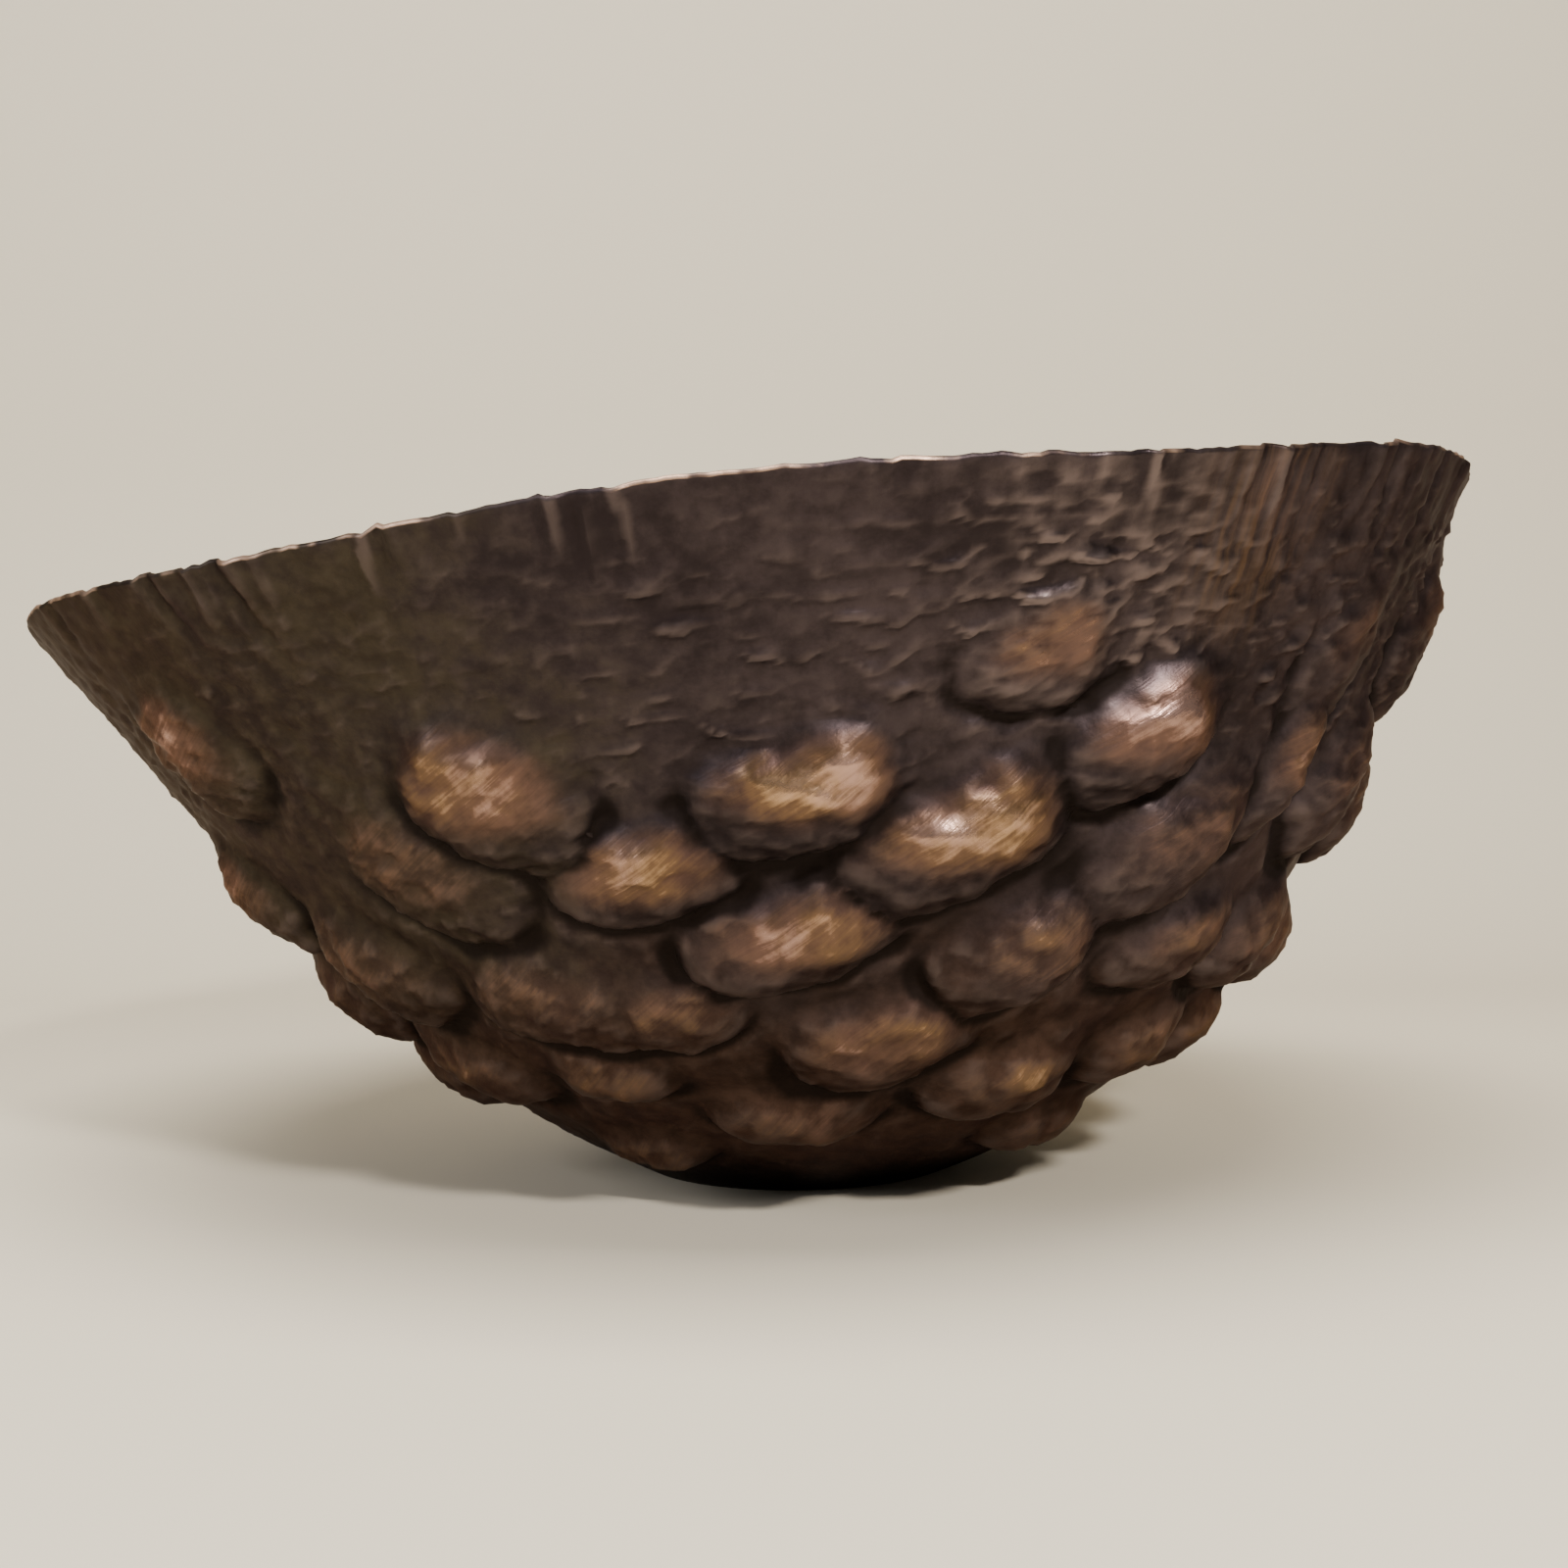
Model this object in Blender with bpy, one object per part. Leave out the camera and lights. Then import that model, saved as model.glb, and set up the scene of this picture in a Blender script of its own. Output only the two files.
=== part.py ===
"""Hammered copper bowl: one raised and chased sheet, standing on a small flat base.

Metres, +Z up. The origin is the centre of the base, on the surface it stands on. The bowl leans:
its rim is lowest and furthest out towards -X, highest towards +X. Azimuth 0 is +X, 270 is the front.
"""
import math
import random

import bpy
import numpy as np

# The bowl as a whole
RIM_RADIUS = 0.1985       # from the base's centre to the rim, midway round
RIM_HEIGHT = 0.1715       # from the base to the rim, midway round
LEAN_REACH = 0.0115       # the low side's rim is this much further out, the high side's this much nearer
LEAN_RISE = 0.0195        # the high side's rim is this much higher, the low side's this much lower
BASE_RADIUS = 0.045       # the flat that it stands on
SHEET = 0.0016            # thickness of the copper

# How the wall curves, base to rim
BASE_SLOPE = 24.0         # degrees above level, where the wall leaves the base
BASE_SLOPE_LEAN = -2.0    # change of that towards the high side
BASE_HANDLE = 0.42        # how far the wall keeps to that slope, as a share of base edge to rim
RIM_SLOPE = 58.0          # degrees above level at the rim
RIM_SLOPE_LEAN = 9.0
RIM_HANDLE = 0.36

# The hand-cut rim
RIM_DIP = 0.0024          # how far it dips between its high points
RIM_DIPS = 6              # how many times round
FIRST_DIP = 55.0          # azimuth of one of them
RIM_RIPPLE = 0.0008       # how far it wanders in and out
RIPPLE_WAVES = ((7, 0.6, 1.0), (17, 2.0, 0.6))    # times round, start in radians, strength
RIPPLE_FROM = 0.80        # share of the wall's height where the ripple begins

# The bosses
BOSS_RISE = 1.0           # all the bosses' heights are multiplied by this
BOSS_SPREAD = 1.12        # a boss's foot, against its marked length and width
BOSS_SQUARE = 2.4         # 2 gives oval feet, more gives squarer ones
BOSS_FULLNESS = 0.8       # under 1 gives full crowns with steep sides, over 1 gives pointed ones
BOSS_BELLY = 0.25         # how far the fullest part of a boss sits below its middle
BASE_CLEAR = 0.018        # bosses fade out below this height, so that none reaches the base
# Each is azimuth and slant in degrees, share of the wall's height, then length, width and rise in mm
FRONT_BOSSES = (
    # the top ring, with plain wall between
    (218, 0.81, 34, 24, -68, 6), (246.5, 0.725, 38, 31, -38, 9), (270, 0.70, 40, 25, 18, 9),
    (287, 0.82, 27, 18, 14, 5), (297.5, 0.735, 36, 25, 32, 9), (320, 0.81, 40, 26, 60, 3),
    (341, 0.83, 44, 32, 60, 7),
    # the second ring
    (187, 0.60, 34, 26, -30, 6), (205, 0.60, 34, 26, -40, 7), (237, 0.63, 42, 30, -42, 5),
    (257, 0.615, 38, 23, 12, 7), (283, 0.64, 48, 28, 22, 10), (304.5, 0.61, 46, 28, 38, 8),
    (316, 0.68, 34, 17, 70, 6), (330, 0.66, 38, 27, 60, 8), (349, 0.63, 36, 30, 30, 9),
    # the third ring
    (200, 0.42, 34, 28, -35, 7), (221, 0.49, 40, 28, -42, 7), (243.5, 0.44, 40, 28, -12, 6),
    (270, 0.53, 42, 25, 18, 9), (292, 0.49, 38, 26, 35, 9), (312, 0.475, 36, 20, 32, 7),
    (328, 0.47, 34, 26, 40, 8), (346, 0.44, 34, 26, 30, 9),
    # the fourth ring
    (199, 0.26, 32, 24, -30, 6), (221, 0.30, 38, 24, -35, 6), (257, 0.42, 30, 20, 20, 5),
    (279, 0.365, 40, 26, 22, 8), (298, 0.29, 36, 22, 22, 8), (320, 0.31, 32, 22, 30, 7),
    (338, 0.31, 30, 22, 30, 7),
    # the lowest, just above the base
    (245, 0.31, 30, 18, -5, 5), (240, 0.14, 30, 18, 5, 5), (269, 0.235, 34, 20, 3, 7),
    (318, 0.16, 30, 18, 10, 6),
)
# Round the back the rings go on by rule: share of the height, degrees from boss to boss, first azimuth
BACK_RINGS = ((0.77, 23.0, 6.0), (0.61, 20.0, 9.0), (0.46, 20.5, 5.0), (0.31, 24.0, 0.0), (0.17, 36.0, 12.0))
BACK_END = 187.0          # azimuth where the back's rings meet the front's
BACK_LENGTH = 0.037
BACK_WIDTH = 0.025
BACK_LIFT = 0.0075
BACK_SLANTS = (10, 40)    # least and most, in degrees
BACK_TURN = 2.5           # degrees that a boss may sit off its place round the ring
BACK_DRIFT = 0.022        # share of the height that it may sit above or below the ring
LENGTH_SPREAD = (0.88, 1.15)
WIDTH_SPREAD = (0.88, 1.12)
LIFT_SPREAD = (0.8, 1.2)
SEED = 11

# The mesh
COLUMNS = 112             # round the wall, halved near the base
BOSSED_ROWS = 21          # from the base to the top of the bosses
PLAIN_ROWS = 2            # from there to the rim
BOSSED_TO = 0.90          # share of the wall's height
HALVED_BELOW = 0.30       # share of the wall's height below which the columns are halved
BASE_RING = 0.5           # the ring inside the base's flat, as a share of its radius
COPPER = (0.105, 0.058, 0.040, 1.0)
METALLIC = 0.9
ROUGHNESS = 0.42


def smooth(x):
    x = np.clip(x, 0.0, 1.0)
    return x * x * (3.0 - 2.0 * x)


def wall(azimuth, share):
    """Points of the plain wall, before the bosses: azimuth in radians, share 0 at the base, 1 at the rim."""
    across = np.cos(azimuth)
    ripple = smooth((share - RIPPLE_FROM) / (1.0 - RIPPLE_FROM))
    reach = RIM_RADIUS - LEAN_REACH * across
    height = RIM_HEIGHT + LEAN_RISE * across
    low = np.radians(BASE_SLOPE + BASE_SLOPE_LEAN * across)
    high = np.radians(RIM_SLOPE + RIM_SLOPE_LEAN * across)
    chord = np.hypot(reach - BASE_RADIUS, height)
    start, end = BASE_HANDLE * chord, RIM_HANDLE * chord
    near, far = 1.0 - share, share
    weights = (near ** 3, 3.0 * near ** 2 * far, 3.0 * near * far ** 2, far ** 3)
    outs = (BASE_RADIUS, BASE_RADIUS + start * np.cos(low), reach - end * np.cos(high), reach)
    ups = (0.0, start * np.sin(low), height - end * np.sin(high), height)
    out = sum(weight * value for weight, value in zip(weights, outs))
    up = sum(weight * value for weight, value in zip(weights, ups))
    waves = sum(strength * np.sin(times * azimuth + start) for times, start, strength in RIPPLE_WAVES)
    out = out + RIM_RIPPLE * ripple * waves / sum(strength for _, _, strength in RIPPLE_WAVES)
    up = up - RIM_DIP * ripple * (0.5 + 0.5 * np.cos(RIM_DIPS * (azimuth - math.radians(FIRST_DIP))))
    return np.stack([out * np.cos(azimuth), out * np.sin(azimuth), up], axis=-1)


def directions(azimuth, share):
    """Unit vectors along the ring, up the wall, and out of it."""
    step = 1e-4
    along = wall(azimuth + step, share) - wall(azimuth - step, share)
    along = along / np.linalg.norm(along, axis=-1, keepdims=True)
    rise = wall(azimuth, share + step) - wall(azimuth, share - step)
    rise = rise - along * (rise * along).sum(axis=-1, keepdims=True)
    rise = rise / np.linalg.norm(rise, axis=-1, keepdims=True)
    return along, rise, np.cross(along, rise)


def all_bosses():
    """Azimuth and slant in radians, share, then length, width and rise in metres, for every boss."""
    found = []
    for azimuth, share, length, width, slant, rise in FRONT_BOSSES:
        found.append((azimuth, share, length / 1000, width / 1000, slant, rise / 1000))
    dice = random.Random(SEED)
    for share, pitch, first in BACK_RINGS:
        count = round((BACK_END - first) / pitch)
        for i in range(count):
            found.append((
                first + i * (BACK_END - first) / count + dice.uniform(-BACK_TURN, BACK_TURN),
                share + dice.uniform(-BACK_DRIFT, BACK_DRIFT),
                BACK_LENGTH * dice.uniform(*LENGTH_SPREAD),
                BACK_WIDTH * dice.uniform(*WIDTH_SPREAD),
                dice.uniform(*BACK_SLANTS),
                BACK_LIFT * dice.uniform(*LIFT_SPREAD),
            ))
    return [(math.radians(a), s, l, w, math.radians(t), r) for a, s, l, w, t, r in found]


def boss_lift(points):
    """How far each of the wall's points is raised by the bosses over it."""
    lift = np.zeros(points.shape[:-1])
    for azimuth, at, length, width, slant, rise in all_bosses():
        middle = wall(np.array(azimuth), np.array(at))
        along, rising, _ = directions(np.array(azimuth), np.array(at))
        long_way = along * math.cos(slant) + rising * math.sin(slant)
        short_way = rising * math.cos(slant) - along * math.sin(slant)
        away = points - middle
        u = away @ long_way / (length * BOSS_SPREAD / 2)
        v = away @ short_way / (width * BOSS_SPREAD / 2)
        inside = np.linalg.norm(away, axis=-1) < length
        foot = np.abs(u) ** BOSS_SQUARE + np.abs(v) ** BOSS_SQUARE
        dome = np.clip(1.0 - foot, 0.0, 1.0) ** BOSS_FULLNESS
        lift = np.maximum(lift, inside * rise * dome * (1.0 - BOSS_BELLY * v))
    return BOSS_RISE * lift * smooth(points[..., 2] / BASE_CLEAR)


def ring(share, columns):
    azimuth = np.arange(columns) * 2.0 * math.pi / columns
    shares = np.full(columns, share)
    points = wall(azimuth, shares)
    _, _, out = directions(azimuth, shares)
    return points + out * boss_lift(points)[:, None]


def flat_ring(radius, columns):
    azimuth = np.arange(columns) * 2.0 * math.pi / columns
    return np.stack([radius * np.cos(azimuth), radius * np.sin(azimuth), 0.0 * azimuth], axis=-1)


def joined(inner, outer, inner_count, outer_count):
    """Faces between two rings, given their first vertex numbers; the outer may have twice the points."""
    faces = []
    for i in range(inner_count):
        a, b = inner + i, inner + (i + 1) % inner_count
        if outer_count == inner_count:
            faces.append((a, outer + i, outer + (i + 1) % outer_count, b))
            continue
        c, d, e = (outer + (2 * i + k) % outer_count for k in range(3))
        faces.append((a, c, d))
        faces.append((a, d, b))
        faces.append((b, d, e))
    return faces


def bowl_sheet():
    """The outside of the bowl, from the base's centre to the rim, as points and faces that face out."""
    rings = [flat_ring(BASE_RADIUS * BASE_RING, COLUMNS // 4), flat_ring(BASE_RADIUS, COLUMNS // 2)]
    shares = [BOSSED_TO * (row + 1) / BOSSED_ROWS for row in range(BOSSED_ROWS)]
    shares += [BOSSED_TO + (1.0 - BOSSED_TO) * (row + 1) / PLAIN_ROWS for row in range(PLAIN_ROWS)]
    for share in shares:
        rings.append(ring(share, COLUMNS // 2 if share < HALVED_BELOW else COLUMNS))
    points = [np.zeros((1, 3))] + rings
    starts = np.cumsum([len(part) for part in points])
    faces = [(0, 1 + i, 1 + (i + 1) % len(rings[0])) for i in range(len(rings[0]))]
    for i in range(len(rings) - 1):
        faces += joined(int(starts[i]), int(starts[i + 1]), len(rings[i]), len(rings[i + 1]))
    return np.concatenate(points), [face[::-1] for face in faces]


def copper():
    material = bpy.data.materials.new("patinated_copper")
    material.use_nodes = True
    shader = material.node_tree.nodes["Principled BSDF"]
    shader.inputs["Base Color"].default_value = COPPER
    shader.inputs["Metallic"].default_value = METALLIC
    shader.inputs["Roughness"].default_value = ROUGHNESS
    return material


def build():
    for old in list(bpy.data.objects):
        bpy.data.objects.remove(old)
    points, faces = bowl_sheet()
    mesh = bpy.data.meshes.new("bowl_shell")
    mesh.from_pydata(points.tolist(), [], faces)
    mesh.update()
    mesh.shade_smooth()
    mesh.materials.append(copper())
    bowl = bpy.data.objects.new("bowl_shell", mesh)
    bpy.context.scene.collection.objects.link(bowl)
    thicken = bowl.modifiers.new("Sheet", "SOLIDIFY")
    thicken.thickness = SHEET
    thicken.offset = -1.0
    thicken.use_even_offset = True
    thicken.use_quality_normals = True


build()
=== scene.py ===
# %% [markdown]
# # A hammered copper bowl
# The real bowl is one sheet of copper, sunk and raised over stakes until it is a wide, leaning cup. Its
# lower wall is then chased from inside into bosses like river pebbles, and its upper wall is planished with
# small hammer marks. A dark patina is left in the hollows and rubbed back to bright metal on the crowns.
# The lesson builds it the same way round: a plain raised blank first, then the chasing and hammering as one
# Geometry Nodes tree, then the patina as one material.

# %% Load the measured frame
import math
import random

import bpy
import numpy as np
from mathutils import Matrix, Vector


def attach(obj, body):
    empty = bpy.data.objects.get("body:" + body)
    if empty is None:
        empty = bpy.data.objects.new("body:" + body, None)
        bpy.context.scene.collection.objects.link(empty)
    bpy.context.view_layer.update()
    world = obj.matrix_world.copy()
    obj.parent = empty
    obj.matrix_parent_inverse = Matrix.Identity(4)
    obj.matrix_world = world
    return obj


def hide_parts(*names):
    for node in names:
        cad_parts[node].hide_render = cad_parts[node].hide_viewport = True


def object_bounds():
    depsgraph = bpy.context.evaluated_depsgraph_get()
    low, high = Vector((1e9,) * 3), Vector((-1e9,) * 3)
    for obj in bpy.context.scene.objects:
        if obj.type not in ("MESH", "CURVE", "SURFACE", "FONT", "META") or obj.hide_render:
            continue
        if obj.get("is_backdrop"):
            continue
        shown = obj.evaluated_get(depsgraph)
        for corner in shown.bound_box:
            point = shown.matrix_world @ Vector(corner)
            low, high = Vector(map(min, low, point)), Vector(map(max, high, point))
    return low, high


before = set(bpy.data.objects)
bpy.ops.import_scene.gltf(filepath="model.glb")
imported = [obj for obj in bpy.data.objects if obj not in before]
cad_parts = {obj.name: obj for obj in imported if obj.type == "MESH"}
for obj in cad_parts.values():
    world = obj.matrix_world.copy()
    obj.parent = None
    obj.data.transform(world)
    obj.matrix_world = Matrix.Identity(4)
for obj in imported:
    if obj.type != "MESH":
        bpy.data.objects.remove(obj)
cad_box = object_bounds()
print("frame:", sorted(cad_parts), "box", [round(v, 3) for corner in cad_box for v in corner])

# %% [markdown]
# ## The plain form
# Before any decoration the bowl is a surface of revolution that has been pushed over: one side of the rim is
# lower and reaches further out. A turned profile would be the usual way, but a lathe can't lean. So the
# profile is a cubic Bezier curve whose four handles change gently with the azimuth, which keeps the wall one
# smooth sheet all the way round.

# %% Sizes of the plain form, in metres and degrees
MM = 0.001
RIM_RADIUS = 198.5 * MM   # midway round, as every size here
RIM_HEIGHT = 171.5 * MM
LEAN_REACH = 11.5 * MM    # the high side reaches out this much less, the low side this much more
LEAN_RISE = 19.5 * MM     # the high side rises this much more, the low side this much less
BASE_RADIUS = 45 * MM
SHEET = 1.6 * MM
WALL_LENGTH = 220 * MM    # up the wall from base to rim
BASE_SLOPE, BASE_SLOPE_LEAN, BASE_HANDLE = 24.0, -2.0, 0.42
RIM_SLOPE, RIM_SLOPE_LEAN, RIM_HANDLE = 58.0, 9.0, 0.36
RIM_DIP, RIM_DIPS, FIRST_DIP = 2.4 * MM, 6, 55.0
RIM_RIPPLE = 0.8 * MM
RIPPLE_WAVES = ((7, 1.0, 0.6), (17, 0.6, 2.0))   # waves round the rim, strength, where they start
RIPPLE_FROM = 0.80        # share of the wall where dips and ripple begin
print("rim %.0f mm across, sheet %.1f mm" % (2 * RIM_RADIUS / MM, SHEET / MM))


# %% Points of the plain wall
def smooth(x, low=0.0, high=1.0):
    x = np.clip((x - low) / (high - low), 0.0, 1.0)
    return x * x * (3.0 - 2.0 * x)


def wall(azimuth, share):
    """Points of the plain wall: azimuth in radians from +X, share 0 at the base's edge, 1 at the rim."""
    across = np.cos(azimuth)
    reach = RIM_RADIUS - LEAN_REACH * across
    height = RIM_HEIGHT + LEAN_RISE * across
    low = np.radians(BASE_SLOPE + BASE_SLOPE_LEAN * across)
    high = np.radians(RIM_SLOPE + RIM_SLOPE_LEAN * across)
    chord = np.hypot(reach - BASE_RADIUS, height)
    start, end = BASE_HANDLE * chord, RIM_HANDLE * chord
    near, far = 1.0 - share, share
    weights = (near ** 3, 3.0 * near ** 2 * far, 3.0 * near * far ** 2, far ** 3)
    outs = (BASE_RADIUS, BASE_RADIUS + start * np.cos(low), reach - end * np.cos(high), reach)
    ups = (0.0, start * np.sin(low), height - end * np.sin(high), height)
    out = sum(weight * value for weight, value in zip(weights, outs))
    up = sum(weight * value for weight, value in zip(weights, ups))
    near_rim = smooth(share, RIPPLE_FROM, 1.0)
    waves = sum(part * np.sin(count * azimuth + begin) for count, part, begin in RIPPLE_WAVES)
    out = out + RIM_RIPPLE * near_rim * waves / sum(part for _, part, _ in RIPPLE_WAVES)
    up = up - RIM_DIP * near_rim * (0.5 + 0.5 * np.cos(RIM_DIPS * (azimuth - math.radians(FIRST_DIP))))
    return np.stack([out * np.cos(azimuth), out * np.sin(azimuth), up], axis=-1)


plain_rim = wall(np.radians(np.arange(0, 360, 2)), np.ones(180))
rim_heights = plain_rim[:, 2] / MM
print("plain rim: highest %.1f mm, lowest %.1f mm" % (rim_heights.max(), rim_heights.min()))


# %% The three directions at a point of the wall
def directions(azimuth, share):
    """Unit vectors along the ring, up the wall, and out of it."""
    step = 1e-4
    along = wall(azimuth + step, share) - wall(azimuth - step, share)
    along = along / np.linalg.norm(along, axis=-1, keepdims=True)
    rise = wall(azimuth, share + step) - wall(azimuth, share - step)
    rise = rise - along * (rise * along).sum(axis=-1, keepdims=True)
    rise = rise / np.linalg.norm(rise, axis=-1, keepdims=True)
    return along, rise, np.cross(along, rise)


_, _, front = directions(np.radians(270.0), 0.7)
print("the front wall faces", [round(float(part), 2) for part in front])

# %% [markdown]
# ## Crimps under the rim
# Where the sheet was drawn in to make the rim's circle smaller, it is pinched into short upright folds. They
# could come from a noise, but the strong ones are landmarks, so each is listed as azimuth, width,
# length, and whether its middle goes in or stands out. A narrow bump with two shoulders, which bends a little
# on its way down, has the look of a fold that was hammered nearly flat.

# %% The crimps
CRIMPS = (   # degrees, mm, mm, strength
    (212, 6, 22, -0.6), (220, 5, 16, 0.5), (228, 5, 26, -0.8), (231, 4, 20, 0.6),
    (234.3, 5, 34, -0.9), (236.6, 4, 24, 0.6), (244.8, 3, 16, 1.0), (246.3, 3, 18, -0.9), (251, 4, 12, 0.5),
    (256, 3, 16, 0.9), (258, 3, 20, -0.8), (260.3, 3, 22, 0.8), (276, 4, 12, -0.4), (288, 5, 14, 0.4),
    (292, 3, 18, 0.7),
    (300.5, 4, 30, -0.6), (303, 4, 34, 0.8), (306, 3, 24, -0.6), (312, 4, 26, 0.7), (316, 4, 30, -0.8),
    (320, 3, 24, 0.6), (325, 5, 30, -0.7), (334, 5, 22, 0.5),
    (14, 5, 20, -0.7), (33, 4, 24, 0.7), (58, 5, 18, -0.6), (86, 4, 26, 0.8), (91, 4, 20, -0.7),
    (118, 5, 22, -0.6), (143, 4, 18, 0.6), (166, 5, 26, -0.8),
)
CRIMP_FULLNESS = 0.6      # share of the width from a crimp's middle to where it crosses zero
CRIMP_SWAY = 0.8          # how far a crimp bends sideways, counted in that share of its width
CRIMP_WAVE = 9.0          # mm down the wall for each radian of the bend


def crimp(azimuth, share):
    """How far the crimps push the sheet in or out, from -1 to 1; azimuth in degrees."""
    push = np.zeros_like(share)
    down = (1.0 - share) * WALL_LENGTH / MM
    for at, width, length, strength in CRIMPS:
        around = ((azimuth - at + 180.0) % 360.0 - 180.0) * math.radians(1) * RIM_RADIUS / MM
        across = around / (CRIMP_FULLNESS * width) + CRIMP_SWAY * np.sin(down / CRIMP_WAVE + at)
        push += strength * (1.0 - across ** 2) * np.exp(-across ** 2) * smooth(1.0 - down / length)
    return push


print("crimps:", len(CRIMPS), "longest", max(length for _, _, length, _ in CRIMPS), "mm")

# %% [markdown]
# ## The blank
# A smith's blank is the same bowl with nothing chased into it. Here it is one closed mesh: the outside from
# the base's centre to the rim, a rounded lip, and the inside back down to the centre. Rings of quads would
# crowd towards the base, so the number of columns is halved as the rings get small. The upper outside
# carries the hammer marks and gets the finest rings.
# Each point also carries what the chasing needs: where it lies on the plain form, which way is out, and how
# far round and how far up the wall it is.

# %% How fine the blank is
COLUMNS = 608             # halves down to 38, four times
HALVED_AT = (112 * MM, 52 * MM, 26 * MM, 13 * MM)   # ring radii below which the columns are halved
LOW_ROWS, HIGH_ROWS = 70, 74
FINER_FROM = 0.62         # share of the wall above which the rows lie closer
BASE_ROWS, BASE_ROWS_INSIDE = 12, 8
INSIDE_ROWS = 64
LIP_ROWS = 3
BASE_TURN = 0.04          # share of the wall over which "out" turns from straight down to square to it
TYPICAL = 4.0             # an azimuth in radians where the wall is neither at its highest nor its lowest


def columns_at(share, finest):
    """How many columns a ring has: halved where the ring gets small."""
    radius = np.hypot(*wall(np.array(TYPICAL), np.array(max(share, 0.0)))[:2]) * min(1.0, 1.0 + share)
    return finest // 2 ** sum(radius < limit for limit in HALVED_AT)


print("columns at the rim and at the base:", columns_at(1.0, COLUMNS), columns_at(-0.9, COLUMNS))


# %% One ring of the sheet
def ring(share, columns, depth=0.0, lift=0.0, outside=1.0):
    """share below 0 is on the base's flat; depth is into the sheet, lift is up past the rim."""
    azimuth = np.arange(columns) * 2.0 * math.pi / columns
    shares = np.full(columns, share)
    if share < 0.0:
        flat = BASE_RADIUS * (1.0 + share)
        form = np.stack([flat * np.cos(azimuth), flat * np.sin(azimuth), 0.0 * azimuth], axis=-1)
        out = np.tile((0.0, 0.0, -1.0), (columns, 1))
        rise = np.zeros((columns, 3))
    else:
        form = wall(azimuth, shares)
        _, rise, out = directions(azimuth, shares)
        lean = smooth(share, 0.0, BASE_TURN)
        out = out * lean + np.array((0.0, 0.0, -1.0)) * (1.0 - lean)
        out = out / np.linalg.norm(out, axis=-1, keepdims=True)
    turn = np.degrees(azimuth)
    return {"place": form - out * depth + rise * lift, "form": form, "out": out, "azimuth": turn,
            "share": shares, "outside": np.full(columns, outside), "crimp": crimp(turn, shares)}


print("each ring carries:", list(ring(0.5, 8)))


# %% All the rings, from the middle of the underside to the middle of the inside
def blank_rings():
    outside = [-1.0 + i / BASE_ROWS for i in range(BASE_ROWS)]
    outside += [FINER_FROM * i / LOW_ROWS for i in range(LOW_ROWS)]
    outside += [FINER_FROM + (1.0 - FINER_FROM) * i / HIGH_ROWS for i in range(HIGH_ROWS + 1)]
    found = [ring(share, columns_at(share, COLUMNS)) for share in outside]
    for i in range(1, LIP_ROWS + 1):
        turn = math.pi * i / (LIP_ROWS + 1)
        depth, lift = SHEET / 2 * (1 - math.cos(turn)), SHEET / 2 * math.sin(turn)
        found.append(ring(1.0, COLUMNS, depth, lift, 0.5))
    inside = [1.0 - i / INSIDE_ROWS for i in range(INSIDE_ROWS + 1)]
    inside += [-(i + 1) / BASE_ROWS_INSIDE for i in range(BASE_ROWS_INSIDE)]
    found += [ring(share, columns_at(share, COLUMNS // 2), SHEET, 0.0, 0.0) for share in inside]
    for pole in (found[0], found[-1]):
        for key in pole:
            pole[key] = pole[key][:1]
    return found


rings = blank_rings()
print("rings:", len(rings))


# %% The faces between the rings
def joined(lower, upper, low_count, high_count):
    """Faces between two rings, given their first point numbers; either may have twice the other's points."""
    if low_count > high_count:
        return [face[::-1] for face in joined(upper, lower, high_count, low_count)]
    faces = []
    for i in range(low_count):
        a, b = lower + i, lower + (i + 1) % low_count
        if high_count == low_count:
            faces.append((a, b, upper + (i + 1) % high_count, upper + i))
            continue
        c, d, e = (upper + (2 * i + k) % high_count for k in range(3))
        faces += [(a, d, c), (a, b, d), (b, e, d)]
    return faces


def all_faces(counts):
    """Faces of the whole closed sheet, given how many points each ring has."""
    starts = np.concatenate([[0], np.cumsum(counts)]).tolist()
    faces = []
    for i in range(len(counts) - 1):
        here, there = counts[i], counts[i + 1]
        if here == 1:
            faces += [(0, 1 + (k + 1) % there, 1 + k) for k in range(there)]
        elif there == 1:
            faces += [(starts[i] + k, starts[i] + (k + 1) % here, starts[i + 1]) for k in range(here)]
        else:
            faces += joined(starts[i], starts[i + 1], here, there)
    return faces


print("faces from a ring of 4 points to one of 8:", len(joined(0, 4, 4, 8)))


# %% Build the blank, with its measures as attributes
CARRIED = (("form", "FLOAT_VECTOR"), ("out", "FLOAT_VECTOR"), ("azimuth", "FLOAT"),
           ("share", "FLOAT"), ("outside", "FLOAT"), ("crimp", "FLOAT"))
blank_mesh = bpy.data.meshes.new("blank")
places = np.concatenate([one["place"] for one in rings]).tolist()
blank_mesh.from_pydata(places, [], all_faces([len(one["share"]) for one in rings]))
for name, kind in CARRIED:
    values = np.concatenate([one[name] for one in rings]).astype(np.float32)
    field = "vector" if kind == "FLOAT_VECTOR" else "value"
    blank_mesh.attributes.new(name, kind, "POINT").data.foreach_set(field, values.ravel())
blank_mesh.update()
blank = bpy.data.objects.new("hammered_bowl_blank", blank_mesh)
bpy.context.scene.collection.objects.link(blank)
print("blank:", len(blank_mesh.vertices), "points,", len(blank_mesh.polygons), "faces")

# %% [markdown]
# ## The boss plan
# The smith marks each boss before chasing it. Towards the front they are placed one by one, because each has
# its own size, slant and height, and how much its crown has been rubbed. Round the back the same rings go on
# by rule, with a little unevenness from a fixed seed. The plan becomes a small cloud of points, which the
# node tree reads one boss at a time.

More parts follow.
